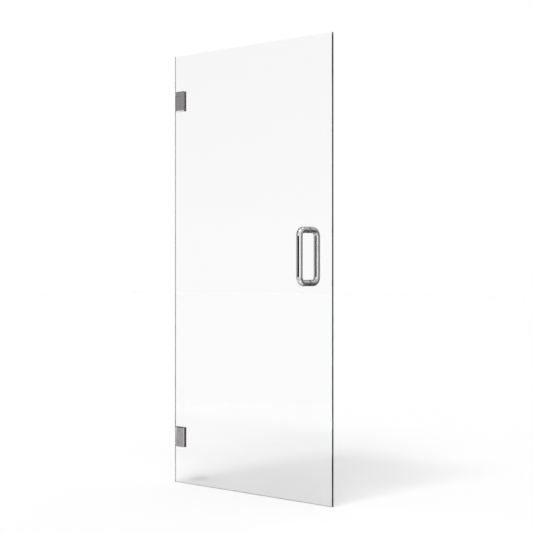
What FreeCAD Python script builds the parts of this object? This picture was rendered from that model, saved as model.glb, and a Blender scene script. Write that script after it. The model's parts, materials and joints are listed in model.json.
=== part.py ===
import FreeCAD, Part
import math
import os

# Frameless shower door: one tempered glass leaf on two self-centring wall hinges, with a
# back-to-back D pull. The leaf is shown closed.
# +X runs along the leaf from the wall, -Y is the side it is seen from and +Z is up.
# The origin lies on the wall, level with the lower hinge and on the middle of the glass.

Vector = FreeCAD.Vector
along_x = Vector(1, 0, 0)
along_y = Vector(0, 1, 0)
along_z = Vector(0, 0, 1)

# All lengths are in millimetres.
overrun = 2.0

hexagon_sides = 6

# Glass leaf
glass_height = 1828.8
glass_width = 863.6
glass_thickness = 10.0
glass_arris = 0.8
wall_gap = 4.0

# Places on the leaf
hinge_setback = 196.0
pull_setback = 121.0
pull_height = 965.0

# Notch in the glass for each hinge, with a round ear in each inner corner. The clamps lap over
# the glass above and below it
clamp_lap = 8.5
notch_depth = 47.4
notch_ear_radius = 6.35
notch_play = 0.5

# Hinge, door side: two plates clamp the glass between gaskets, and a block on the front one
# fills the notch and carries the pin
hinge_height = 85.0
clamp_thickness = 5.0
clamp_reach = 60.5
clamp_bevel = 2.4
clamp_draw = 0.3
gasket_thickness = 1.0
gasket_inset = 0.6

# Clamp screws, countersunk from the inside of the shower
clamp_screw_diameter = 6.0
clamp_screw_head_diameter = 11.0
clamp_screw_length = 16.0
clamp_screw_spacing = 28.0
clamp_screw_play = 0.25
clamp_screw_socket_flats = 4.0
clamp_screw_socket_depth = 1.8
clamp_screw_hole_spare = 0.8
thread_play = 0.02

# Pivot pin, with a flat for each resting place of the door
pivot_from_wall = 19.5
pin_diameter = 8.0
pin_flat_depth = 0.4
pin_flat_length = 12.0
pin_end_inset = 0.6
pin_seat_play = 0.02
pin_flat_count = 4

# Grub screws that lock the pin in the block
pin_grub_diameter = 5.0
pin_grub_sink = 0.9
pin_grub_tip_gap = 0.05
pin_grub_socket_flats = 2.5
pin_grub_socket_depth = 2.4

# Knuckle of the wall bracket, which fills the space between the block's two lugs
lug_height = 10.1
knuckle_recess = 0.5
knuckle_nose_radius = 19.5
swing_gap = 1.6

# Wall plate, set back from the outside and shorter than the notch, so that the clamps hide it
wall_plate_thickness = 5.0
wall_plate_width = 48.0
wall_plate_end_gap = 2.0
wall_plate_front = 0.5
wall_plate_bevel = 1.4
wall_hole_diameter = 5.5
wall_hole_spacing_y = 18.0
wall_hole_end = 9.0
wall_hole_edge = 8.5

# Flanged bushes between pin and knuckle
bush_wall = 2.0
bush_length = 9.0
bush_flange_diameter = 17.0
bush_flange_thickness = 0.8
bush_running_play = 0.03
bush_seat_play = 0.02
thrust_gap = 0.1

# Spring plunger that presses on the pin's flats, with its die spring and plug
plunger_bore_diameter = 8.0
plunger_length = 4.0
plunger_play = 0.05
plunger_ride_gap = 0.02
spring_diameter = 6.8
spring_wire_width = 1.2
spring_wire_thickness = 0.8
spring_length = 7.0
spring_turns = 3
spring_steps_per_turn = 12
spring_end_gap = 0.05
spring_plug_length = 3.8
spring_plug_socket_flats = 4.0
spring_plug_socket_depth = 2.0

# Pull: two bent bars back to back through the glass
pull_bar_diameter = 25.4
pull_spacing = 208.0
pull_reach = 50.8
pull_bend_radius = 25.0
washer_thickness = 1.0
washer_inset = 0.5
stud_diameter = 8.0
stud_length = 44.0
stud_hole_spare = 2.0
glass_hole_diameter = 13.0
sleeve_play = 0.2
sleeve_stud_play = 0.1
pull_grub_diameter = 5.0
pull_grub_from_glass = 11.0
pull_grub_sink = 0.6
pull_grub_tip_gap = 0.05
pull_grub_socket_flats = 2.5
pull_grub_socket_depth = 3.0

# Values worked out from those above
glass_half = glass_thickness / 2
glass_bottom = -hinge_setback
glass_left = wall_gap
hinge_span = glass_height - 2 * hinge_setback
seat_y = glass_half + gasket_thickness
face_y = seat_y + clamp_thickness
clamp_end = glass_left + clamp_reach
notch_end = glass_left + notch_depth
notch_height = hinge_height - 2 * clamp_lap
block_end = notch_end - notch_play
block_half_height = notch_height / 2 - notch_play
block_rear = seat_y - clamp_draw
pin_radius = pin_diameter / 2
lug_start = block_half_height - lug_height
lug_middle = (lug_start + block_half_height) / 2
knuckle_half_height = lug_start - thrust_gap - bush_flange_thickness
knuckle_height = 2 * knuckle_half_height
knuckle_half_width = face_y - knuckle_recess
wall_plate_height = notch_height - 2 * wall_plate_end_gap
wall_hole_spacing_z = wall_plate_height - 2 * wall_hole_end
plunger_bore_radius = plunger_bore_diameter / 2
cut_out_end = pivot_from_wall + knuckle_nose_radius + swing_gap
spine_middle = (cut_out_end + block_end) / 2
bush_radius = pin_radius + bush_running_play + bush_wall
pull_x = glass_left + glass_width - pull_setback
pull_z = glass_bottom + pull_height
pull_seat = glass_half + washer_thickness
pull_grip_y = glass_half + pull_reach
pull_radius = pull_bar_diameter / 2


def box(x_range, y_range, z_range):
    size = [high - low for low, high in (x_range, y_range, z_range)]
    return Part.makeBox(*size, Vector(x_range[0], y_range[0], z_range[0]))


def rod(radius, start, direction, length):
    return Part.makeCylinder(radius, length, start, direction)


def hexagon_socket(flats, centre, direction, depth):
    """The space of a hexagon key's socket, from the face at centre along direction."""
    corner = flats / math.sqrt(3)
    across = along_z if abs(direction.z) < math.cos(math.pi / 4) else along_x
    other = direction.cross(across)
    points = []
    for step in range(hexagon_sides + 1):
        turn = step * 2 * math.pi / hexagon_sides
        points.append(centre + across * (corner * math.cos(turn)) + other * (corner * math.sin(turn)))
    return Part.Face(Part.makePolygon(points)).extrude(direction * depth)


def glass_panel():
    top = glass_bottom + glass_height
    leaf = box((glass_left, glass_left + glass_width), (-glass_half, glass_half), (glass_bottom, top))
    rims = [edge for edge in leaf.Edges if abs(abs(edge.CenterOfMass.y) - glass_half) < glass_arris / 2]
    leaf = leaf.makeChamfer(glass_arris, rims)
    for hinge_z in (0, hinge_span):
        leaf = leaf.cut(notch_space(hinge_z))
    for z in pull_foot_places():
        start = Vector(pull_x, -glass_half - overrun, z)
        leaf = leaf.cut(rod(glass_hole_diameter / 2, start, along_y, glass_thickness + 2 * overrun))
    return leaf


def notch_space(hinge_z):
    depth = (-glass_half - overrun, glass_half + overrun)
    half = notch_height / 2
    space = box((glass_left - overrun, notch_end), depth, (hinge_z - half, hinge_z + half))
    for end in (-1, 1):
        start = Vector(notch_end, depth[0], hinge_z + end * half)
        ear = rod(notch_ear_radius, start, along_y, depth[1] - depth[0])
        space = space.fuse(ear)
    return space


def bullet(half_width, end, half_height):
    """A block with flat sides and a round nose about the pivot, seen from above."""
    nose = Vector(pivot_from_wall - half_width, 0, -half_height)
    front = Vector(pivot_from_wall, -half_width, -half_height)
    rear = Vector(pivot_from_wall, half_width, -half_height)
    front_end = Vector(end, -half_width, -half_height)
    rear_end = Vector(end, half_width, -half_height)
    edges = [
        Part.Arc(rear, nose, front).toShape(),
        Part.makeLine(front, front_end),
        Part.makeLine(front_end, rear_end),
        Part.makeLine(rear_end, rear),
    ]
    return Part.Face(Part.Wire(edges)).extrude(along_z * (2 * half_height))


def clamp_body():
    """Both clamp plates and the space between them, with bevelled faces."""
    half = hinge_height / 2
    whole = bullet(face_y, clamp_end, half)
    rims = []
    for edge in whole.Edges:
        middle = edge.valueAt((edge.FirstParameter + edge.LastParameter) / 2)
        on_face = abs(abs(middle.y) - face_y) < clamp_bevel / 2
        on_end = abs(abs(middle.z) - half) < clamp_bevel / 2
        along_nose = middle.x < pivot_from_wall and on_end
        behind_nose = middle.x > pivot_from_wall + clamp_bevel
        if along_nose or (on_face and behind_nose):
            rims.append(edge)
    whole = whole.makeChamfer(clamp_bevel, rims)
    gap = box(
        (pivot_from_wall - face_y - overrun, cut_out_end),
        (-face_y - overrun, face_y + overrun),
        (-lug_start, lug_start),
    )
    return whole.cut(gap)


def clamp_screw_places():
    """X and Z of the two clamp screws, through the block's spine behind the knuckle."""
    return [(spine_middle, end * clamp_screw_spacing / 2) for end in (-1, 1)]


def front_body():
    whole = clamp_body()
    reach = pivot_from_wall - face_y - overrun
    high = hinge_height / 2 + overrun
    plate = whole.common(box((reach, clamp_end + overrun), (-face_y - overrun, -seat_y), (-high, high)))
    core = box((reach, block_end), (-seat_y, block_rear), (-block_half_height, block_half_height))
    body = plate.fuse(whole.common(core)).removeSplitter()
    bore = rod(pin_radius + pin_seat_play, Vector(pivot_from_wall, 0, -high), along_z, 2 * high)
    body = body.cut(bore.common(core))
    hole = clamp_screw_diameter / 2 + thread_play
    bottom = face_y - clamp_screw_length - clamp_screw_hole_spare
    for x, z in clamp_screw_places():
        body = body.cut(rod(hole, Vector(x, bottom, z), along_y, 2 * face_y))
    for end in (-1, 1):
        start = Vector(pivot_from_wall, 0, end * lug_middle)
        body = body.cut(rod(pin_grub_diameter / 2 + thread_play, start, -along_x, 2 * face_y))
    return body


def rear_clamp():
    whole = clamp_body()
    reach = pivot_from_wall - face_y - overrun
    high = hinge_height / 2 + overrun
    plate = whole.common(box((reach, clamp_end + overrun), (seat_y, face_y + overrun), (-high, high)))
    hole = clamp_screw_diameter / 2 + clamp_screw_play
    for x, z in clamp_screw_places():
        plate = plate.cut(rod(hole, Vector(x, seat_y - overrun, z), along_y, clamp_thickness + 2 * overrun))
        plate = plate.cut(screw_head(x, z, clamp_screw_play))
    return plate


def screw_head(x, z, play):
    """A countersunk head flush with the rear face, or with play the space for one."""
    head = clamp_screw_head_diameter / 2 + play
    shank = clamp_screw_diameter / 2 + play
    depth = head - shank
    return Part.makeCone(shank, head, depth, Vector(x, face_y - depth, z), along_y)


def clamp_screws():
    screws = []
    for x, z in clamp_screw_places():
        tip = Vector(x, face_y - clamp_screw_length, z)
        shank = rod(clamp_screw_diameter / 2, tip, along_y, clamp_screw_length)
        screw = shank.fuse(screw_head(x, z, 0)).removeSplitter()
        face = Vector(x, face_y + overrun, z)
        depth = clamp_screw_socket_depth + overrun
        screws.append(screw.cut(hexagon_socket(clamp_screw_socket_flats, face, -along_y, depth)))
    return screws


def gasket(side):
    """One gasket, on the front for side -1 and on the rear for side 1."""
    inner = math.sqrt(face_y**2 - seat_y**2)
    left = pivot_from_wall - inner + gasket_inset
    half = hinge_height / 2 - gasket_inset
    y_range = sorted((side * glass_half, side * seat_y))
    sheet = box((left, clamp_end - gasket_inset), y_range, (-half, half))
    open_half = notch_height / 2
    space = box(
        (left - overrun, notch_end),
        (y_range[0] - overrun, y_range[1] + overrun),
        (-open_half, open_half),
    )
    return sheet.cut(space)


def pivot_pin():
    half = block_half_height - pin_end_inset
    pin = rod(pin_radius, Vector(pivot_from_wall, 0, -half), along_z, 2 * half)
    flat_half = pin_flat_length / 2
    keep = pin_radius - pin_flat_depth
    for step in range(pin_flat_count):
        slice_off = box((keep, pin_diameter), (-pin_radius, pin_radius), (-flat_half, flat_half))
        slice_off.rotate(Vector(0, 0, 0), along_z, step * 360 / pin_flat_count)
        slice_off.translate(along_x * pivot_from_wall)
        pin = pin.cut(slice_off)
    return pin


def pin_grub_screws():
    screws = []
    tip = pivot_from_wall - pin_radius - pin_grub_tip_gap
    outer = pivot_from_wall - face_y + pin_grub_sink
    for end in (-1, 1):
        start = Vector(outer, 0, end * lug_middle)
        screw = rod(pin_grub_diameter / 2, start, along_x, tip - outer)
        depth = pin_grub_socket_depth
        screws.append(screw.cut(hexagon_socket(pin_grub_socket_flats, start, along_x, depth)))
    return screws


def knuckle_outline():
    """The knuckle seen from above: a barrel on the outside, a neck to the wall and a round nose."""
    half = knuckle_half_width
    nose_side = math.sqrt(knuckle_nose_radius**2 - half**2)
    neck_side = math.sqrt(half**2 - wall_plate_front**2)
    barrel_turn = (math.pi / 2 + math.asin(wall_plate_front / half)) / 2
    low = -knuckle_half_height
    rear_wall = Vector(0, half, low)
    rear_nose = Vector(pivot_from_wall + nose_side, half, low)
    tip = Vector(pivot_from_wall + knuckle_nose_radius, 0, low)
    front_nose = Vector(pivot_from_wall + nose_side, -half, low)
    front = Vector(pivot_from_wall, -half, low)
    barrel = Vector(pivot_from_wall - half * math.cos(barrel_turn), -half * math.sin(barrel_turn), low)
    neck = Vector(pivot_from_wall - neck_side, -wall_plate_front, low)
    front_wall = Vector(0, -wall_plate_front, low)
    edges = [
        Part.makeLine(rear_wall, rear_nose),
        Part.Arc(rear_nose, tip, front_nose).toShape(),
        Part.makeLine(front_nose, front),
        Part.Arc(front, barrel, neck).toShape(),
        Part.makeLine(neck, front_wall),
        Part.makeLine(front_wall, rear_wall),
    ]
    return Part.Face(Part.Wire(edges))


def wall_plate():
    """A plate that lies on the wall, bevelled round its outer face."""
    half = wall_plate_height / 2
    rear = wall_plate_width - wall_plate_front
    plate = box((0, wall_plate_thickness), (-wall_plate_front, rear), (-half, half))
    rims = [edge for edge in plate.Edges if edge.CenterOfMass.x > wall_plate_thickness - wall_plate_bevel]
    return plate.makeChamfer(wall_plate_bevel, rims)


def wall_hole_places():
    """Y and Z of the four screw holes in a wall plate."""
    outer = wall_plate_width - wall_plate_front - wall_hole_edge
    return [
        (y, end * wall_hole_spacing_z / 2) for y in (outer - wall_hole_spacing_y, outer) for end in (-1, 1)
    ]


def plunger_face():
    return pivot_from_wall + pin_radius + plunger_ride_gap


def spring_start():
    return plunger_face() + plunger_length


def plug_start():
    return spring_start() + spring_length


def wall_bracket():
    knuckle = knuckle_outline().extrude(along_z * knuckle_height)
    bracket = wall_plate().fuse(knuckle).removeSplitter()
    axis_low = Vector(pivot_from_wall, 0, -knuckle_half_height - overrun)
    bracket = bracket.cut(rod(bush_radius, axis_low, along_z, knuckle_height + 2 * overrun))
    axis = Vector(pivot_from_wall, 0, 0)
    bracket = bracket.cut(rod(plunger_bore_radius, axis, along_x, knuckle_nose_radius + overrun))
    depth = wall_plate_thickness + 2 * overrun
    for y, z in wall_hole_places():
        bracket = bracket.cut(rod(wall_hole_diameter / 2, Vector(-overrun, y, z), along_x, depth))
    return bracket


def bush(end):
    """A flanged bush in one end of the knuckle."""
    inner = pin_radius + bush_running_play
    outer = bush_radius - bush_seat_play
    way = along_z * -end
    rim = Vector(pivot_from_wall, 0, end * knuckle_half_height)
    flange_top = rim + along_z * (end * bush_flange_thickness)
    body = rod(outer, rim, way, bush_length)
    flange = rod(bush_flange_diameter / 2, flange_top, way, bush_flange_thickness)
    hole = rod(inner, flange_top - way * overrun, way, bush_length + bush_flange_thickness + 2 * overrun)
    return body.fuse(flange).removeSplitter().cut(hole)


def plunger():
    radius = plunger_bore_radius - plunger_play
    return rod(radius, Vector(plunger_face(), 0, 0), along_x, plunger_length)


def spring_plug():
    plug = rod(plunger_bore_radius - thread_play, Vector(plug_start(), 0, 0), along_x, spring_plug_length)
    face = Vector(plug_start() + spring_plug_length, 0, 0)
    return plug.cut(hexagon_socket(spring_plug_socket_flats, face, -along_x, spring_plug_socket_depth))


def plunger_spring():
    """A die spring of flat wire between the plunger and its plug, wound along X."""
    outer = spring_diameter / 2
    inner = outer - spring_wire_width
    first = spring_start() + spring_end_gap
    rise = plug_start() - spring_end_gap - spring_wire_thickness - first
    steps = spring_turns * spring_steps_per_turn
    sections = []
    for step in range(steps + 1):
        turn = step * 2 * math.pi / spring_steps_per_turn
        outward = Vector(0, math.cos(turn), math.sin(turn))
        near = along_x * (first + rise * step / steps)
        far = near + along_x * spring_wire_thickness
        corners = [near + outward * inner, near + outward * outer, far + outward * outer, far + outward * inner]
        sections.append(Part.makePolygon(corners + corners[:1]))
    return Part.makeLoft(sections, True, True)


def pull_path(side):
    """The centre line of one pull, from one foot to the other."""
    half = pull_spacing / 2
    arm = pull_grip_y - pull_bend_radius
    inside = pull_bend_radius * (1 - math.cos(math.pi / 4))
    edges = []
    for end in (-1, 1):
        foot = Vector(pull_x, side * pull_seat, pull_z + end * half)
        elbow = Vector(pull_x, side * arm, pull_z + end * half)
        corner = Vector(pull_x, side * (pull_grip_y - inside), pull_z + end * (half - inside))
        grip = Vector(pull_x, side * pull_grip_y, pull_z + end * (half - pull_bend_radius))
        edges.append(Part.makeLine(foot, elbow))
        edges.append(Part.Arc(elbow, corner, grip).toShape())
    low = Vector(pull_x, side * pull_grip_y, pull_z - half + pull_bend_radius)
    high = Vector(pull_x, side * pull_grip_y, pull_z + half - pull_bend_radius)
    edges.append(Part.makeLine(low, high))
    return Part.Wire(Part.__sortEdges__(edges))


def pull_bar(side):
    foot = Vector(pull_x, side * pull_seat, pull_z - pull_spacing / 2)
    section = Part.Wire(Part.Circle(foot, along_y, pull_radius).toShape())
    bar = pull_path(side).makePipeShell([section], True, False)
    depth = stud_length / 2 + stud_hole_spare
    for z in pull_foot_places():
        hole = rod(stud_diameter / 2 + thread_play, Vector(pull_x, 0, z), along_y * side, depth)
        bar = bar.cut(hole)
    if side > 0:
        for start in pull_grub_starts():
            bar = bar.cut(rod(pull_grub_diameter / 2 + thread_play, start, -along_z, pull_radius + overrun))
    return bar


def pull_foot_places():
    return [pull_z - pull_spacing / 2, pull_z + pull_spacing / 2]


def pull_grub_starts():
    """Where each grub screw's axis crosses its stud, under the feet of the rear pull."""
    return [Vector(pull_x, glass_half + pull_grub_from_glass, z) for z in pull_foot_places()]


def pull_studs():
    half = stud_length / 2
    return [rod(stud_diameter / 2, Vector(pull_x, -half, z), along_y, stud_length) for z in pull_foot_places()]


def ring(outer_radius, inner_radius, start, direction, length):
    hole = rod(inner_radius, start - direction * overrun, direction, length + 2 * overrun)
    return rod(outer_radius, start, direction, length).cut(hole)


def glass_hole_sleeves():
    outer = glass_hole_diameter / 2 - sleeve_play
    inner = stud_diameter / 2 + sleeve_stud_play
    starts = [Vector(pull_x, -glass_half, z) for z in pull_foot_places()]
    return [ring(outer, inner, start, along_y, glass_thickness) for start in starts]


def pull_washers():
    outer = pull_radius - washer_inset
    inner = stud_diameter / 2 + sleeve_stud_play
    washers = []
    for side in (-1, 1):
        for z in pull_foot_places():
            start = Vector(pull_x, side * glass_half, z)
            washers.append(ring(outer, inner, start, along_y * side, washer_thickness))
    return washers


def pull_grub_screws():
    screws = []
    top = stud_diameter / 2 + pull_grub_tip_gap
    length = pull_radius - pull_grub_sink - top
    for start in pull_grub_starts():
        tip = start - along_z * top
        screw = rod(pull_grub_diameter / 2, tip, -along_z, length)
        face = tip - along_z * length
        depth = pull_grub_socket_depth
        screws.append(screw.cut(hexagon_socket(pull_grub_socket_flats, face, along_z, depth)))
    return screws


def hinge_pieces():
    """The pieces of one hinge that have nodes of their own, with the hinge's middle at Z = 0."""
    return {
        "wall_bracket": wall_bracket(),
        "plunger": plunger(),
        "pivot_pin": pivot_pin(),
        "front_body": front_body(),
        "rear_clamp": rear_clamp(),
        "front_gasket": gasket(-1),
        "rear_gasket": gasket(1),
    }


def raised(shape):
    """A copy of a lower hinge's piece in its place on the upper hinge."""
    upper = shape.copy()
    upper.translate(along_z * hinge_span)
    return upper


def all_pieces():
    pieces = {"glass_panel": glass_panel()}
    for name, shape in hinge_pieces().items():
        pieces["lower_" + name] = shape
        pieces["upper_" + name] = raised(shape)
    # small like pieces of both hinges share a node
    small = {
        "knuckle_bushes": [bush(-1), bush(1)],
        "plunger_springs": [plunger_spring()],
        "spring_plugs": [spring_plug()],
        "clamp_screws": clamp_screws(),
        "pin_grub_screws": pin_grub_screws(),
    }
    for name, shapes in small.items():
        pieces[name] = Part.makeCompound(shapes + [raised(shape) for shape in shapes])
    pieces["front_pull"] = pull_bar(-1)
    pieces["rear_pull"] = pull_bar(1)
    pieces["pull_studs"] = Part.makeCompound(pull_studs())
    pieces["glass_hole_sleeves"] = Part.makeCompound(glass_hole_sleeves())
    pieces["pull_washers"] = Part.makeCompound(pull_washers())
    pieces["pull_grub_screws"] = Part.makeCompound(pull_grub_screws())
    return pieces


os.makedirs("parts", exist_ok=True)
for name, shape in all_pieces().items():
    shape.exportStep("parts/" + name + ".step")
    print(name, len(shape.Solids), round(shape.Volume, 1), shape.isValid())
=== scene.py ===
import json
import math

import bmesh
import bpy
from mathutils import Matrix, Vector


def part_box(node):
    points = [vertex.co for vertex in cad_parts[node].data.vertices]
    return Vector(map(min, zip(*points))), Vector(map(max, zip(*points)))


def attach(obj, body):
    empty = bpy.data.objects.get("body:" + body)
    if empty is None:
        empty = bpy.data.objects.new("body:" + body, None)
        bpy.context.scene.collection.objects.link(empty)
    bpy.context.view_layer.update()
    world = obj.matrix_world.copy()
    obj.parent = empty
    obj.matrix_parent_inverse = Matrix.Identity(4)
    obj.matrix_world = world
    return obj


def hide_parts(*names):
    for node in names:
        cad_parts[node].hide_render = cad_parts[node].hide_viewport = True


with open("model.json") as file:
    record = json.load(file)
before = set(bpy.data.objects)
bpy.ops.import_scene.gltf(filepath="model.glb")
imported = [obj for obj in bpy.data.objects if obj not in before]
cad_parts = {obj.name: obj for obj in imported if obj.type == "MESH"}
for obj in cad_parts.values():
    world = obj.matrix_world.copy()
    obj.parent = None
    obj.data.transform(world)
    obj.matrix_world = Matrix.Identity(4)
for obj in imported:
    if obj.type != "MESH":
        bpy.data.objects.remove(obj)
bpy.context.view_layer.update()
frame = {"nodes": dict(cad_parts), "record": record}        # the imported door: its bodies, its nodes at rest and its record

scene = bpy.context.scene
scene.view_settings.view_transform = "Standard"
mm = 0.001
weldGap = 0.002 * mm     # corners nearer than this are one corner

leafLow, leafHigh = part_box("glass_panel")
leafCentre = (leafLow + leafHigh) / 2
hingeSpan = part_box("upper_front_body")[0].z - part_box("lower_front_body")[0].z


def hexColor(code):
    # sRGB hex to the linear colour that a shader wants
    channels = [int(code[start:start + 2], 16) / 255 for start in (1, 3, 5)]
    linear = [c / 12.92 if c <= 0.04045 else ((c + 0.055) / 1.055) ** 2.4 for c in channels]
    return (*linear, 1.0)


def addNode(tree, kind, settings=None, inputs=None):
    # a socket among the inputs is linked, and anything else is set as the value
    node = tree.nodes.new(kind)
    for name, value in (settings or {}).items():
        setattr(node, name, value)
    for name, value in (inputs or {}).items():
        if isinstance(value, bpy.types.NodeSocket):
            tree.links.new(value, node.inputs[name])
        else:
            node.inputs[name].default_value = value
    return node


def newMaterial(name):
    material = bpy.data.materials.new(name)
    material.use_nodes = True
    material.node_tree.nodes.clear()
    return material, material.node_tree


def objectPlace(tree):
    return addNode(tree, "ShaderNodeTexCoord").outputs["Object"]


def objectAxes(tree):
    axes = addNode(tree, "ShaderNodeSeparateXYZ", {}, {0: objectPlace(tree)})
    return axes.outputs["X"], axes.outputs["Y"], axes.outputs["Z"]


def closeMaterial(tree, shader):
    addNode(tree, "ShaderNodeOutputMaterial", {}, {"Surface": shader})


def meshObject(name, corners, faces):
    mesh = bpy.data.meshes.new(name)
    mesh.from_pydata(corners, [], faces)
    thing = bpy.data.objects.new(name, mesh)
    scene.collection.objects.link(thing)
    return thing


def flatSheet(name, middle, wide, deep):
    # one level sheet, given its half width along X and half depth along Y
    x, y, z = middle
    corners = [
        (x - wide, y - deep, z),
        (x + wide, y - deep, z),
        (x + wide, y + deep, z),
        (x - wide, y + deep, z),
    ]
    return meshObject(name, corners, [(0, 1, 2, 3)])


# studio: camera, light, floor and the glowing panels round it that paint what the chrome mirrors

cameraView = {
    "azimuth": 41.57,        # degrees round the leaf from its outside
    "distance": 5.070,       # metres from the middle of the leaf
    "side": 0.0679,          # metres to the right of the line through that middle
    "lift": 0.0071,          # metres above it
    "focalLength": 83.96,    # millimetres, as the sensor's width is
    "sensor": 36.0,
    "shiftY": 0.002,         # share of the frame's width
}


def makeCamera():
    turn = math.radians(cameraView["azimuth"])
    back = Vector((math.sin(turn), -math.cos(turn), 0))
    right = Vector((math.cos(turn), math.sin(turn), 0))
    data = bpy.data.cameras.new("photoCamera")
    data.lens = cameraView["focalLength"]
    data.sensor_width = cameraView["sensor"]
    data.shift_y = cameraView["shiftY"]
    camera = bpy.data.objects.new("photoCamera", data)
    camera.location = leafCentre + back * cameraView["distance"] + right * cameraView["side"]
    camera.location.z += cameraView["lift"]
    camera.rotation_euler = (math.pi / 2, 0, turn)
    scene.collection.objects.link(camera)
    scene.camera = camera


# three soft lights, placed so that the leaf's shadow on the floor has the photograph's shape:
# degrees above the floor, degrees to the right of straight in front, degrees across and strength
studioLight = {
    "lamps": {
        "frontLight": (57.5, 3.0, 12.0, 1.36),
        "sideLight": (45.5, 24.0, 18.0, 1.12),
        "farLight": (62.0, 43.0, 12.0, 0.45),
    },
    "fill": 0.3,             # what the white room adds to matt surfaces
}


def seenDirectly(tree):
    # 1 for rays that the camera, metal or glass sends out, 0 for light that bounces between matt surfaces
    path = addNode(tree, "ShaderNodeLightPath")
    seen = path.outputs["Is Camera Ray"]
    for name in ("Is Glossy Ray", "Is Transmission Ray"):
        either = addNode(tree, "ShaderNodeMath", {"operation": "MAXIMUM"}, {0: seen, 1: path.outputs[name]})
        seen = either.outputs[0]
    first = addNode(
        tree, "ShaderNodeMath", {"operation": "LESS_THAN"}, {0: path.outputs["Diffuse Depth"], 1: 0.5}
    )
    both = addNode(tree, "ShaderNodeMath", {"operation": "MULTIPLY"}, {0: seen, 1: first.outputs[0]})
    return both.outputs[0]


def makeLight():
    world = bpy.data.worlds.new("whiteRoom")
    world.use_nodes = True
    tree = world.node_tree
    tree.nodes.clear()
    level = addNode(
        tree,
        "ShaderNodeMapRange",
        {},
        {"Value": seenDirectly(tree), "To Min": studioLight["fill"], "To Max": 1.0},
    )
    room = addNode(
        tree, "ShaderNodeBackground", {}, {"Color": hexColor("#FFFFFF"), "Strength": level.outputs[0]}
    )
    addNode(tree, "ShaderNodeOutputWorld", {}, {"Surface": room.outputs[0]})
    scene.world = world

    for name, (elevation, azimuth, across, strength) in studioLight["lamps"].items():
        light = bpy.data.lights.new(name, "SUN")
        light.energy = strength
        light.angle = math.radians(across)
        lamp = bpy.data.objects.new(name, light)
        lamp.rotation_euler = (math.radians(90 - elevation), 0, math.radians(azimuth))
        lamp.visible_transmission = False    # its light comes through the glass as shadow rays only
        scene.collection.objects.link(lamp)


floorSheet = {
    "gap": 1.5 * mm,         # between the floor and the leaf's bottom edge
    "size": 60.0,
    "albedo": "#EFEFEF",
    "lift": 0.107,           # brings the lit floor up to the white of the room
    "gloss": 0.015,          # the share of a slight gloss, and how rough it is
    "glossRoughness": 0.06,
}
floorLevel = leafLow.z - floorSheet["gap"]


def makeFloor():
    half = floorSheet["size"] / 2
    floor = flatSheet("studioFloor", (0, 0, floorLevel), half, half)
    material, tree = newMaterial("matt white paper")
    matt = addNode(tree, "ShaderNodeBsdfDiffuse", {}, {"Color": hexColor(floorSheet["albedo"])})
    gloss = addNode(
        tree,
        "ShaderNodeBsdfGlossy",
        {},
        {"Color": hexColor("#FFFFFF"), "Roughness": floorSheet["glossRoughness"]},
    )
    skin = addNode(
        tree, "ShaderNodeMixShader", {}, {0: floorSheet["gloss"], 1: matt.outputs[0], 2: gloss.outputs[0]}
    )
    level = addNode(
        tree, "ShaderNodeMath", {"operation": "MULTIPLY"}, {0: seenDirectly(tree), 1: floorSheet["lift"]}
    )
    glow = addNode(tree, "ShaderNodeEmission", {}, {"Strength": level.outputs[0]})
    both = addNode(tree, "ShaderNodeAddShader", {}, {0: skin.outputs[0], 1: glow.outputs[0]})
    closeMaterial(tree, both.outputs[0])
    floor.data.materials.append(material)


def mirrorOnly(thing):
    # it neither shows nor lights anything: what metal and glass mirror is all that it changes
    for ray in ("camera", "diffuse", "shadow", "volume_scatter"):
        setattr(thing, "visible_" + ray, False)


def mirroredGlow(tree, glow, there=1.0):
    # clear to rays that only passed through glass, and a glow to those that a surface has mirrored
    path = addNode(tree, "ShaderNodeLightPath")
    mirrored = addNode(
        tree, "ShaderNodeMath", {"operation": "GREATER_THAN"}, {0: path.outputs["Glossy Depth"], 1: 0.5}
    )
    shown = addNode(tree, "ShaderNodeMath", {"operation": "MULTIPLY"}, {0: mirrored.outputs[0], 1: there})
    gone = addNode(tree, "ShaderNodeBsdfTransparent")
    either = addNode(
        tree, "ShaderNodeMixShader", {}, {0: shown.outputs[0], 1: gone.outputs[0], 2: glow.outputs[0]}
    )
    return either.outputs[0]
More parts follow.
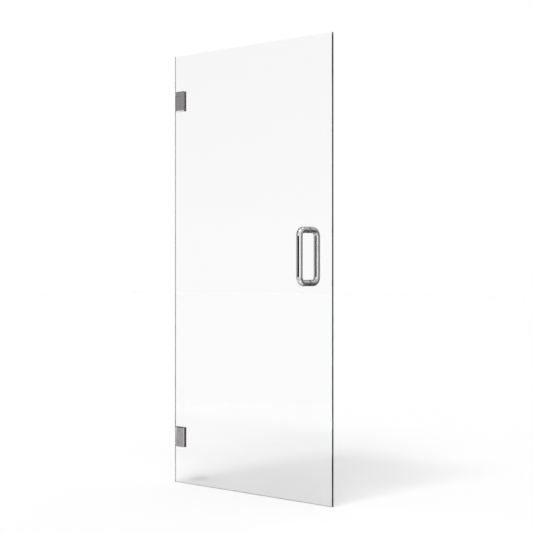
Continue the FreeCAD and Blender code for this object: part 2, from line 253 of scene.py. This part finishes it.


# a glowing wall right round the door that paints the reflections paper rolls and flags would give: degrees
# from the outside of the leaf towards its free edge, and the wall's brightness in each of its five bands,
# from the floor up. Each pair in heights is a height and the band found there, and the wall blends from one
# pair to the next
wallRing = {
    "radius": 3.4,
    "top": 4.6,
    "panels": 96,
    "brightest": 2.8,        # the ramp's full white
    "heights": [(0.42, 0), (0.57, 1), (1.01, 1), (1.14, 2), (1.75, 3), (2.60, 4)],
    "tones": [
        (-180, 0.02, 0.44, 0.50, 0.50, 0.72),
        (-160, 0.02, 0.44, 0.50, 0.50, 0.72),
        (-148, 0.05, 0.44, 0.35, 0.35, 0.40),
        (-133, 0.10, 0.44, 0.30, 0.30, 0.15),
        (-122, 0.55, 0.50, 0.50, 0.45, 0.01),
        (-70, 0.80, 0.74, 0.62, 0.45, 0.01),
        (-50, 0.80, 0.76, 0.66, 0.56, 0.44),
        (-31, 0.76, 0.76, 0.66, 0.56, 0.44),
        (-28, 0.20, 0.02, 0.50, 0.60, 0.80),
        (-14, 0.20, 0.02, 1.00, 1.20, 1.20),
        (10, 1.30, 0.02, 1.20, 1.40, 1.40),
        (33, 1.30, 0.02, 1.30, 1.40, 1.40),
        (38, 1.30, 0.02, 1.70, 0.30, 0.90),
        (42, 1.30, 2.70, 2.40, 0.30, 0.90),
        (46, 1.25, 2.20, 2.10, 0.30, 0.90),
        (50, 1.20, 1.90, 1.80, 1.60, 1.60),
        (88, 1.05, 1.15, 1.20, 1.25, 1.20),
        (96, 0.10, 0.34, 0.50, 0.50, 0.80),
        (150, 0.02, 0.34, 0.50, 0.50, 0.72),
        (165, 0.02, 0.28, 0.50, 0.50, 0.72),
        (180, 0.02, 0.44, 0.50, 0.50, 0.72),
    ],
}


def toneRamp(tree, place, column):
    ramp = addNode(tree, "ShaderNodeValToRGB", {}, {"Fac": place})
    stops = ramp.color_ramp.elements
    while len(stops) < len(wallRing["tones"]):
        stops.new(0.5)       # each gets its own place below
    for stop, tone in zip(stops, wallRing["tones"]):
        stop.position = (tone[0] + 180) / 360
    for stop, tone in zip(stops, wallRing["tones"]):
        shade = tone[column] / wallRing["brightest"]
        stop.color = (shade, shade, shade, 1)
    return ramp.outputs["Color"]


def makeWallRing():
    corners, faces = [], []
    count = wallRing["panels"]
    for step in range(count):
        turn = 2 * math.pi * step / count
        x = leafCentre.x + wallRing["radius"] * math.sin(turn)
        y = -wallRing["radius"] * math.cos(turn)
        corners += [(x, y, floorLevel), (x, y, wallRing["top"])]
        after = (step + 1) % count
        faces.append((2 * step, 2 * after, 2 * after + 1, 2 * step + 1))
    ring = meshObject("paperWall", corners, faces)
    material, tree = newMaterial("paper wall")
    x, y, z = objectAxes(tree)
    across = addNode(tree, "ShaderNodeMath", {"operation": "SUBTRACT"}, {0: x, 1: leafCentre.x}).outputs[0]
    ahead = addNode(tree, "ShaderNodeMath", {"operation": "MULTIPLY"}, {0: y, 1: -1.0}).outputs[0]
    turn = addNode(tree, "ShaderNodeMath", {"operation": "ARCTAN2"}, {0: across, 1: ahead}).outputs[0]
    place = addNode(
        tree, "ShaderNodeMapRange", {}, {"Value": turn, "From Min": -math.pi, "From Max": math.pi}
    )
    tone = toneRamp(tree, place.outputs[0], 1)
    for (low, _), (high, band) in zip(wallRing["heights"], wallRing["heights"][1:]):
        height = addNode(tree, "ShaderNodeMapRange", {}, {"Value": z, "From Min": low, "From Max": high})
        tone = addNode(
            tree,
            "ShaderNodeMix",
            {"data_type": "RGBA"},
            {"Factor": height.outputs[0], 6: tone, 7: toneRamp(tree, place.outputs[0], band + 1)},
        ).outputs[2]
    # painted reflection: a glow in the wall's tones, seen only where metal and glass mirror it
    glow = addNode(tree, "ShaderNodeEmission", {}, {"Color": tone, "Strength": wallRing["brightest"]})
    closeMaterial(tree, mirroredGlow(tree, glow))
    ring.data.materials.append(material)
    mirrorOnly(ring)


# glowing sheets that paint reflections, with soft edges on the floor and overhead: middle, half width along
# X and half depth along Y, brightness and the width of the soft edge
onFloor = floorLevel + 0.02    # just clear of the floor sheet
mirrorSheets = {
    "greyApron": ((-1.00, -1.05, onFloor), (0.95, 0.75), 0.72, 0.30),
    "darkRug": ((1.20, 1.95, onFloor), (2.60, 1.75), 0.05, 0.30),
    "whiteSheet": ((-1.55, -0.25, onFloor + 0.02), (0.50, 0.40), 2.60, 0.15),
    "whiteApron": ((1.25, -0.50, onFloor), (0.45, 0.38), 1.80, 0.15),
    "blackOverhead": ((-2.20, -0.20, 3.30), (1.40, 1.50), 0.03, 0.20),
}


def softEdge(tree, place, middle, half, soft):
    # 1 inside the sheet, falling to 0 over its soft edge
    away = addNode(tree, "ShaderNodeMath", {"operation": "SUBTRACT"}, {0: place, 1: middle})
    far = addNode(tree, "ShaderNodeMath", {"operation": "ABSOLUTE"}, {0: away.outputs[0]})
    return addNode(
        tree,
        "ShaderNodeMapRange",
        {"interpolation_type": "SMOOTHSTEP"},
        {"Value": far.outputs[0], "From Min": half - soft, "From Max": half, "To Min": 1.0, "To Max": 0.0},
    ).outputs[0]


def makeMirrorSheets():
    for name, (middle, (wide, deep), level, soft) in mirrorSheets.items():
        thing = flatSheet(name, middle, wide, deep)
        material, tree = newMaterial("paper sheet " + name)
        x, y, _ = objectAxes(tree)
        there = addNode(
            tree,
            "ShaderNodeMath",
            {"operation": "MULTIPLY"},
            {0: softEdge(tree, x, middle[0], wide, soft), 1: softEdge(tree, y, middle[1], deep, soft)},
        )
        # painted reflection: a glow at the sheet's brightness, seen only where metal and glass mirror it
        glow = addNode(tree, "ShaderNodeEmission", {}, {"Strength": level})
        closeMaterial(tree, mirroredGlow(tree, glow, there.outputs[0]))
        thing.data.materials.append(material)
        mirrorOnly(thing)


# materials, each named for the real one and how its surface was made


def fineNoise(tree, place, grain, detail=2.0):
    # grain is the size of one patch in metres
    noise = addNode(tree, "ShaderNodeTexNoise", {}, {"Vector": place, "Scale": 1 / grain, "Detail": detail})
    return noise.outputs["Fac"]


def spread(tree, value, low, high):
    # noise keeps near its middle, so that stretch of it is spread from low to high
    wider = addNode(
        tree,
        "ShaderNodeMapRange",
        {},
        {"Value": value, "From Min": 0.3, "From Max": 0.7, "To Min": low, "To Max": high},
    )
    return wider.outputs[0]


glassLook = {
    "face": "#FCFCFC",
    # painted shade: the three edge colours, darker than the face, stand in for the dark seen looking down
    # the sheet
    "freeEdge": "#565F5D",
    "wallEdge": "#4A5250",
    "wallEdgeClear": 0.35,     # the edge that the hinges grip is only ground, so it is part clear
    "bottomEdge": "#A9B1AF",
    "shadow": "#E6E6E6",       # what each face lets through of the light that goes on to the floor
    "edgeBand": 0.05 * mm,     # how far from its plane a point still counts as on an edge
    "topBand": 0.9 * mm,       # the top edge with its arrises
    "ior": 1.52,
    "topEdgeIor": 1.0,         # lets the light of the room straight through the top edge
    "rollerWave": 180 * mm,    # the slow ripple that the tempering rollers leave
    "rollerHeight": 0.2 * mm,
    "rollerStrength": 0.1,
}


def temperedGlass():
    # clear tempered float glass: its polished edges look down the sheet, so they read darker than its
    # faces; that dark is painted shade in the edges' colour, over the glass's own faint tint
    material, tree = newMaterial("clear tempered float glass")
    x, _, z = objectAxes(tree)
    band = glassLook["edgeBand"]
    edges = (
        ("bottomEdge", z, "LESS_THAN", leafLow.z + band),
        ("wallEdge", x, "LESS_THAN", leafLow.x + band),
        ("freeEdge", x, "GREATER_THAN", leafHigh.x - band),
        ("topEdge", z, "GREATER_THAN", leafHigh.z - glassLook["topBand"]),
    )
    at = {
        edge: addNode(tree, "ShaderNodeMath", {"operation": operation}, {0: place, 1: limit}).outputs[0]
        for edge, place, operation, limit in edges
    }
    tintAndEdgeShade = hexColor(glassLook["face"])
    # paints each edge's shade colour over the face's tint
    for edge in ("bottomEdge", "wallEdge", "freeEdge"):
        tinted = addNode(
            tree,
            "ShaderNodeMix",
            {"data_type": "RGBA"},
            {"Factor": at[edge], 6: tintAndEdgeShade, 7: hexColor(glassLook[edge])},
        )
        tintAndEdgeShade = tinted.outputs[2]
    clearness = addNode(
        tree,
        "ShaderNodeMapRange",
        {},
        {"Value": at["wallEdge"], "To Min": 1.0, "To Max": glassLook["wallEdgeClear"]},
    )
    bending = addNode(
        tree,
        "ShaderNodeMapRange",
        {},
        {"Value": at["topEdge"], "To Min": glassLook["ior"], "To Max": glassLook["topEdgeIor"]},
    )
    wave = fineNoise(tree, objectPlace(tree), glassLook["rollerWave"], 0.0)
    ripple = addNode(
        tree,
        "ShaderNodeBump",
        {},
        {"Height": wave, "Strength": glassLook["rollerStrength"], "Distance": glassLook["rollerHeight"]},
    )
    pane = addNode(
        tree,
        "ShaderNodeBsdfPrincipled",
        {},
        {
            "Base Color": tintAndEdgeShade,
            "Roughness": 0.0,
            "IOR": bending.outputs[0],
            "Transmission Weight": clearness.outputs[0],
            "Normal": ripple.outputs[0],
        },
    )
    clear = addNode(tree, "ShaderNodeBsdfTransparent", {}, {"Color": hexColor(glassLook["shadow"])})
    path = addNode(tree, "ShaderNodeLightPath")
    through = addNode(
        tree,
        "ShaderNodeMath",
        {"operation": "MAXIMUM"},
        {0: path.outputs["Is Shadow Ray"], 1: path.outputs["Is Diffuse Ray"]},
    )
    skin = addNode(
        tree, "ShaderNodeMixShader", {}, {0: through.outputs[0], 1: pane.outputs[0], 2: clear.outputs[0]}
    )
    closeMaterial(tree, skin.outputs[0])
    return material


metalSkin = {
    "markStretch": 0.05,       # wipe marks stand upright, 1/0.05 = 20 times as long as they are wide
    "markDetail": 4.0,
    "markDepth": 0.1 * mm,
}


def polishedMetal(name, color, roughness, wear, haze, mark, strength=0.02):
    # even colour, with a faint haze and upright wipe marks that soften what it mirrors: wear is what the
    # haze adds to the roughness, haze the size of its patches and mark the width of a wipe mark
    material, tree = newMaterial(name)
    place = objectPlace(tree)
    hazy = spread(tree, fineNoise(tree, place, haze), roughness, roughness + wear)
    stretched = addNode(
        tree, "ShaderNodeMapping", {}, {"Vector": place, "Scale": (1.0, 1.0, metalSkin["markStretch"])}
    )
    marks = fineNoise(tree, stretched.outputs[0], mark, metalSkin["markDetail"])
    bump = addNode(
        tree,
        "ShaderNodeBump",
        {},
        {"Height": marks, "Strength": strength, "Distance": metalSkin["markDepth"]},
    )
    metal = addNode(
        tree,
        "ShaderNodeBsdfPrincipled",
        {},
        {"Base Color": hexColor(color), "Metallic": 1.0, "Roughness": hazy, "Normal": bump.outputs[0]},
    )
    closeMaterial(tree, metal.outputs[0])
    return material


plasticSkin = {
    "ior": 1.48,
    "unevenness": 0.05,        # how far the grain moves the roughness each way
    "grainDepth": 0.05 * mm,
    "grainStrength": 0.1,
}


def mouldedPlastic(name, color, roughness, grain, clear=0.0):
    # a fine grain in its gloss and surface, and clear as far as light passes through it
    material, tree = newMaterial(name)
    place = objectPlace(tree)
    pattern = fineNoise(tree, place, grain)
    swing = plasticSkin["unevenness"]
    uneven = spread(tree, pattern, roughness - swing, roughness + swing)
    bump = addNode(
        tree,
        "ShaderNodeBump",
        {},
        {
            "Height": pattern,
            "Strength": plasticSkin["grainStrength"],
            "Distance": plasticSkin["grainDepth"],
        },
    )
    plastic = addNode(
        tree,
        "ShaderNodeBsdfPrincipled",
        {},
        {
            "Base Color": hexColor(color),
            "Roughness": uneven,
            "IOR": plasticSkin["ior"],
            "Transmission Weight": clear,
            "Normal": bump.outputs[0],
        },
    )
    closeMaterial(tree, plastic.outputs[0])
    return material


materials = {
    "clear_glass": temperedGlass(),
    # plated over buffed castings: a grey mirror that is a little soft
    "hinge_chrome": polishedMetal("chrome-plated brass", "#B8B5B7", 0.08, 0.03, 12 * mm, 0.6 * mm, 0.006),
    # polished as a bar: a clear mirror, which its round form squeezes into upright stripes
    "pull_chrome": polishedMetal("polished chrome", "#C4C4C6", 0.02, 0.03, 15 * mm, 0.6 * mm, 0.008),
    # ground, drawn and tumbled steel: a grey sheen that is too rough to mirror anything
    "pin_steel": polishedMetal("ground stainless steel", "#B9B9BA", 0.22, 0.08, 3 * mm, 0.3 * mm),
    "spring_steel": polishedMetal("drawn spring wire", "#8F8F92", 0.32, 0.10, 2 * mm, 0.3 * mm),
    "fastener_steel": polishedMetal("stainless screw steel", "#BDBDBE", 0.25, 0.10, 2 * mm, 0.3 * mm),
    # moulded: milky white with a low gloss
    "bush_acetal": mouldedPlastic("moulded acetal", "#ECEBE6", 0.45, 0.8 * mm),
    # moulded thin: grey and part clear, so that a washer reads as a faint line
    "sleeve_nylon": mouldedPlastic("moulded clear nylon", "#8A8E8E", 0.30, 0.8 * mm, 0.4),
    # cut from sheet: black with hardly any gloss
    "gasket_rubber": mouldedPlastic("cut black rubber", "#1E1E1F", 0.75, 0.5 * mm),
}
print("materials made:", len(materials))


def dressNodes():
    slots = {part["node"]: part["material_slot"] for part in frame["record"]["subparts"]}
    for node, thing in frame["nodes"].items():
        thing.data.materials.clear()
        thing.data.materials.append(materials[slots[node]])


# pieces made here, each in the place of the plainer node that it names


def plainMesh(thing):
    # bakes an object's modifiers into its mesh
    graph = bpy.context.evaluated_depsgraph_get()
    shaped = thing.evaluated_get(graph)
    mesh = bpy.data.meshes.new_from_object(shaped, preserve_all_data_layers=True, depsgraph=graph)
    thing.modifiers.clear()
    thing.data = mesh
    mesh.name = thing.name
    return thing


def finishPiece(thing, slot, body, nodes, sharp=40):
    # sharp is the angle between faces past which their edge is not shaded over
    work = bmesh.new()
    work.from_mesh(thing.data)
    bmesh.ops.remove_doubles(work, verts=work.verts, dist=weldGap)
    bmesh.ops.recalc_face_normals(work, faces=work.faces)
    work.to_mesh(thing.data)
    work.free()
    thing.data.shade_smooth()
    thing.data.set_sharp_from_angle(angle=math.radians(sharp))
    flat = thing.modifiers.new("flatFaces", "WEIGHTED_NORMAL")
    flat.keep_sharp = True
    plainMesh(thing)
    thing.data.materials.clear()
    thing.data.materials.append(materials[slot])
    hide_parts(*nodes)
    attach(thing, body)
    return thing


def addBevel(thing, width, segments=2, angle=35):
    bevel = thing.modifiers.new("softEdge", "BEVEL")
    bevel.width = width
    bevel.segments = segments
    bevel.limit_method = "ANGLE"
    bevel.angle_limit = math.radians(angle)
    bevel.miter_outer = "MITER_ARC"


def treeInputs(tree, names):
    # named inputs of a Geometry Nodes tree
    for name, kind in names.items():
        tree.interface.new_socket(name=name, in_out="INPUT", socket_type="NodeSocket" + kind)
    tree.interface.new_socket(name="Geometry", in_out="OUTPUT", socket_type="NodeSocketGeometry")
    return addNode(tree, "NodeGroupInput").outputs


def runTree(name, tree, values):
    # grows a tree's shape on a new object and leaves it as a plain mesh
    thing = meshObject(name, [], [])
    modifier = thing.modifiers.new("growth", "NODES")
    modifier.node_group = tree
    sockets = {item.name: item.identifier for item in tree.interface.items_tree if item.in_out == "INPUT"}
    for label, value in values.items():
        modifier[sockets[label]] = value
    return plainMesh(thing)


def closeTree(tree, geometry, material):
    whole = addNode(tree, "GeometryNodeRealizeInstances", {}, {"Geometry": geometry}).outputs[0]
    dressed = addNode(tree, "GeometryNodeSetMaterial", {}, {"Geometry": whole, "Material": material})
    addNode(tree, "NodeGroupOutput", {}, {"Geometry": dressed.outputs[0]})


# D pulls: a round bar along a path with two filleted corners

pullBar = {
    "bendRadius": 25 * mm,
    "sides": 72,               # flats round the bar, and steps along a bend
    "bendSteps": 24,
    "studHole": 8.04 * mm,
    "studHoleDepth": 18 * mm,
    "grubHole": 5.04 * mm,
    "grubFromGlass": 11 * mm,
    "overrun": 1 * mm,         # how far a cutter stands out of what it cuts
    "rim": 0.5 * mm,           # the round on each foot's edge and each hole's edge
}


def bentBarTree():
    tree = bpy.data.node_groups.new("bentBar", "GeometryNodeTree")
    inputs = treeInputs(
        tree,
        {
            "Foot": "Vector",
            "Grip": "Vector",
            "Half Spacing": "Vector",
            "Bend Radius": "Float",
            "Bar Radius": "Float",
            "Sides": "Int",
            "Bend Steps": "Int",
            "Material": "Material",
        },
    )
    points = {}
    for number, (middle, operation) in enumerate(
        (("Foot", "SUBTRACT"), ("Grip", "SUBTRACT"), ("Grip", "ADD"), ("Foot", "ADD"))
    ):
        offset = addNode(
            tree,
            "ShaderNodeVectorMath",
            {"operation": operation},
            {0: inputs[middle], 1: inputs["Half Spacing"]},
        )
        points["Point " + str(number + 1)] = offset.outputs[0]
    path = addNode(tree, "GeometryNodeCurvePrimitiveQuadrilateral", {"mode": "POINTS"}, points)
    opened = addNode(
        tree, "GeometryNodeSetSplineCyclic", {}, {"Geometry": path.outputs[0], "Cyclic": False}
    )
    bent = addNode(
        tree,
        "GeometryNodeFilletCurve",
        {"mode": "POLY"},
        {
            "Curve": opened.outputs[0],
            "Count": inputs["Bend Steps"],
            "Radius": inputs["Bend Radius"],
            "Limit Radius": True,
        },
    )
    section = addNode(
        tree,
        "GeometryNodeCurvePrimitiveCircle",
        {"mode": "RADIUS"},
        {"Resolution": inputs["Sides"], "Radius": inputs["Bar Radius"]},
    )
    bar = addNode(
        tree,
        "GeometryNodeCurveToMesh",
        {},
        {"Curve": bent.outputs[0], "Profile Curve": section.outputs[0], "Fill Caps": True},
    )
    closeTree(tree, bar.outputs[0], inputs["Material"])
    return tree


def addRod(work, start, direction, radius, length, sides=48):
    # a plain rod used only as a cutter
    way = Vector(direction)
    turn = way.to_track_quat("Z", "Y").to_matrix().to_4x4()
    place = Matrix.Translation(Vector(start) + way * (length / 2)) @ turn
    bmesh.ops.create_cone(
        work, cap_ends=True, segments=sides, radius1=radius, radius2=radius, depth=length, matrix=place
    )


def cutWith(thing, work):
    cutter = meshObject("cutter", [], [])
    work.to_mesh(cutter.data)
    work.free()
    cut = thing.modifiers.new("holes", "BOOLEAN")
    cut.operation = "DIFFERENCE"
    cut.solver = "EXACT"
    cut.object = cutter
    plainMesh(thing)
    bpy.data.objects.remove(cutter)


def makePulls():
    tree = bentBarTree()
    for node, side in (("front_pull", -1), ("rear_pull", 1)):
        low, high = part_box(node)
        radius = (high.x - low.x) / 2
        middle = (low + high) / 2
        footY, outerY = (high.y, low.y) if side < 0 else (low.y, high.y)
        halfSpacing = (high.z - low.z) / 2 - radius
        values = {
            "Foot": (middle.x, footY, middle.z),
            "Grip": (middle.x, outerY - side * radius, middle.z),
            "Half Spacing": (0, 0, halfSpacing),
            "Bend Radius": pullBar["bendRadius"],
            "Bar Radius": radius,
            "Sides": pullBar["sides"],
            "Bend Steps": pullBar["bendSteps"],
            "Material": materials["pull_chrome"],
        }
        pull = runTree("frontPull" if side < 0 else "rearPull", tree, values)
        holes = bmesh.new()
        for end in (-1, 1):
            z = middle.z + end * halfSpacing
            outward = (0, side, 0)
            start = (middle.x, footY - side * pullBar["overrun"], z)
            addRod(holes, start, outward, pullBar["studHole"] / 2, pullBar["studHoleDepth"])
            if side > 0:
                start = (middle.x, leafHigh.y + pullBar["grubFromGlass"], z)
                addRod(holes, start, (0, 0, -1), pullBar["grubHole"] / 2, radius + 2 * pullBar["overrun"])
        cutWith(pull, holes)
        addBevel(pull, pullBar["rim"], segments=3, angle=50)
        plainMesh(pull)
        finishPiece(pull, "pull_chrome", "door_leaf", [node])


# hinge castings: merged copies of their nodes with the fine polished round that buffing leaves on each edge

hingeEdges = {
    "round": 0.25 * mm,
    "gasketRound": 0.15 * mm,
    "flatWithin": 0.5,         # faces that turn less than these degrees are made one
}


def softenedCopy(name, node, slot, body, width):
    # a copy of the node, with flat faces made whole before its edges get their round
    thing = meshObject(name, [], [])
    work = bmesh.new()
    work.from_mesh(frame["nodes"][node].data)
    bmesh.ops.remove_doubles(work, verts=work.verts, dist=weldGap)
    bmesh.ops.dissolve_limit(
        work,
        angle_limit=math.radians(hingeEdges["flatWithin"]),
        verts=work.verts,
        edges=work.edges,
        use_dissolve_boundaries=False,
    )
    work.to_mesh(thing.data)
    work.free()
    addBevel(thing, width)
    plainMesh(thing)
    finishPiece(thing, slot, body, [node], sharp=30)


def makeHingePieces():
    castings = (
        ("FrontBody", "_front_body", "door_leaf"),
        ("RearClamp", "_rear_clamp", "door_leaf"),
        ("WallBracket", "_wall_bracket", "wall_side"),
    )
    gaskets = (("FrontGasket", "_front_gasket"), ("RearGasket", "_rear_gasket"))
    thin = hingeEdges["gasketRound"]
    for place in ("lower", "upper"):
        for name, node, body in castings:
            softenedCopy(place + name, place + node, "hinge_chrome", body, hingeEdges["round"])
        for name, node in gaskets:
            softenedCopy(place + name, place + node, "gasket_rubber", "door_leaf", thin)


# small turned pieces: one of each is turned from rings along its axis, and Geometry Nodes sets out the rest


def ringPoints(kind, size, place, sides):
    # a round ring of this radius, or the outline of a hexagon of this half width across flats
    points = []
    for step in range(sides):
        turn = 2 * math.pi * step / sides
        reach = size
        if kind == "hexagon":
            reach = size / math.cos(turn % (math.pi / 3) - math.pi / 6)
        points.append((reach * math.cos(turn), reach * math.sin(turn), place))
    return points


def turnedPiece(name, rings, axis, hollow, sides=48):
    # hollow pieces join their last ring to the first, and solid ones are capped at both ends
    corners = [point for kind, size, place in rings for point in ringPoints(kind, size, place, sides)]
    faces = []
    last = len(rings) if hollow else len(rings) - 1
    for ring in range(last):
        near, far = ring * sides, (ring + 1) % len(rings) * sides
        for step in range(sides):
            after = (step + 1) % sides
            faces.append((near + step, near + after, far + after, far + step))
    if not hollow:
        faces.append(tuple(reversed(range(sides))))
        faces.append(tuple(range((len(rings) - 1) * sides, len(rings) * sides)))
    thing = meshObject(name, corners, faces)
    thing.data.transform(Vector(axis).to_track_quat("Z", "Y").to_matrix().to_4x4())
    return thing


def gridTree():
    tree = bpy.data.node_groups.new("gridOfCopies", "GeometryNodeTree")
    inputs = treeInputs(
        tree,
        {
            "Piece": "Object",
            "First": "Vector",
            "Near Step": "Vector",
            "Far Step": "Vector",
            "Near Count": "Int",
            "Far Count": "Int",
            "Material": "Material",
        },
    )
    pair = addNode(
        tree,
        "GeometryNodeMeshLine",
        {"mode": "OFFSET"},
        {"Count": inputs["Near Count"], "Start Location": inputs["First"], "Offset": inputs["Near Step"]},
    )
    places = addNode(
        tree,
        "GeometryNodeMeshLine",
        {"mode": "OFFSET"},
        {"Count": inputs["Far Count"], "Offset": inputs["Far Step"]},
    )
    pairs = addNode(
        tree, "GeometryNodeInstanceOnPoints", {}, {"Points": places.outputs[0], "Instance": pair.outputs[0]}
    )
    spots = addNode(tree, "GeometryNodeRealizeInstances", {}, {"Geometry": pairs.outputs[0]})
    one = addNode(
        tree, "GeometryNodeObjectInfo", {"transform_space": "ORIGINAL"}, {"Object": inputs["Piece"]}
    )
    copies = addNode(
        tree,
        "GeometryNodeInstanceOnPoints",
        {},
        {"Points": spots.outputs[0], "Instance": one.outputs["Geometry"]},
    )
    closeTree(tree, copies.outputs[0], inputs["Material"])
    return tree


def setOut(name, tree, piece, first, nearStep, farStep, slot, body, node, bevel, counts=(2, 2)):
    # copies of one piece in a grid, from the first place on
    values = {
        "Piece": piece,
        "First": first,
        "Near Step": nearStep,
        "Far Step": farStep,
        "Near Count": counts[0],
        "Far Count": counts[1],
        "Material": materials[slot],
    }
    thing = runTree(name, tree, values)
    bpy.data.objects.remove(piece)
    addBevel(thing, bevel, angle=30)
    plainMesh(thing)
    finishPiece(thing, slot, body, [node], sharp=30)


clampScrew = {
    "shank": 6.0 * mm,
    "tipChamfer": 0.5 * mm,
    "socketFlats": 4.0 * mm,
    "socketDepth": 1.8 * mm,
    "round": 0.15 * mm,
}


def makeClampScrews(tree):
    low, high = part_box("clamp_screws")
    head = (high.x - low.x) / 2
    shank = clampScrew["shank"] / 2
    tip = clampScrew["tipChamfer"]
    flats = clampScrew["socketFlats"] / 2
    length = high.y - low.y
    rings = [
        ("round", shank - tip, 0),
        ("round", shank, tip),
        ("round", shank, length - (head - shank)),
        ("round", head, length),
        ("hexagon", flats, length),
        ("hexagon", flats, length - clampScrew["socketDepth"]),
    ]
    spacing = high.z - low.z - 2 * head - hingeSpan
    first = ((low.x + high.x) / 2, low.y, low.z + head)
    piece = turnedPiece("oneClampScrew", rings, (0, 1, 0), False)
    setOut(
        "clampScrews", tree, piece, first, (0, 0, spacing), (0, 0, hingeSpan),
        "fastener_steel", "door_leaf", "clamp_screws", clampScrew["round"],
    )


grubScrew = {
    "socketFlats": 2.5 * mm,
    "socketDepth": 2.4 * mm,
    "cupPoint": 0.8 * mm,
    "round": 0.12 * mm,
}


def grubRings(radius, length):
    # from the cup point to the socket end
    point = grubScrew["cupPoint"]
    flats = grubScrew["socketFlats"] / 2
    return [
        ("round", radius - point, 0),
        ("round", radius, point),
        ("round", radius, length),
        ("hexagon", flats, length),
        ("hexagon", flats, length - grubScrew["socketDepth"]),
    ]


def makeGrubScrews(tree):
    low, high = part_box("pin_grub_screws")
    radius = (high.y - low.y) / 2
    spacing = high.z - low.z - 2 * radius - hingeSpan
    piece = turnedPiece("onePinGrubScrew", grubRings(radius, high.x - low.x), (-1, 0, 0), False)
    setOut(
        "pinGrubScrews", tree, piece, (high.x, 0, low.z + radius), (0, 0, spacing), (0, 0, hingeSpan),
        "fastener_steel", "door_leaf", "pin_grub_screws", grubScrew["round"],
    )
    low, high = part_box("pull_grub_screws")
    radius = (high.x - low.x) / 2
    pullLow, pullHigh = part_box("rear_pull")
    spacing = (pullHigh.z - pullLow.z) - (pullHigh.x - pullLow.x)
    length = high.z - low.z - spacing
    piece = turnedPiece("onePullGrubScrew", grubRings(radius, length), (0, 0, -1), False)
    first = ((low.x + high.x) / 2, (low.y + high.y) / 2, low.z + length)
    setOut(
        "pullGrubScrews", tree, piece, first, (0, 0, spacing), (0, 0, 0),
        "fastener_steel", "door_leaf", "pull_grub_screws", grubScrew["round"], (2, 1),
    )


pullWasher = {
    "bore": 8.2 * mm,
    "round": 0.3 * mm,
}


def makeWashers(tree):
    low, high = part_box("pull_washers")
    radius = (high.x - low.x) / 2
    thick = high.y - leafHigh.y
    bore = pullWasher["bore"] / 2
    rings = [("round", bore, 0), ("round", radius, 0), ("round", radius, thick), ("round", bore, thick)]
    piece = turnedPiece("onePullWasher", rings, (0, 1, 0), True)
    first = ((low.x + high.x) / 2, low.y, low.z + radius)
    setOut(
        "pullWashers", tree, piece, first, (0, 0, high.z - low.z - 2 * radius), (0, leafHigh.y - low.y, 0),
        "sleeve_nylon", "door_leaf", "pull_washers", pullWasher["round"],
    )


dressNodes()
makePulls()
makeHingePieces()
copyTree = gridTree()
makeClampScrews(copyTree)
makeGrubScrews(copyTree)
makeWashers(copyTree)

makeCamera()
makeLight()
makeFloor()
makeWallRing()
makeMirrorSheets()
print("studio ready")
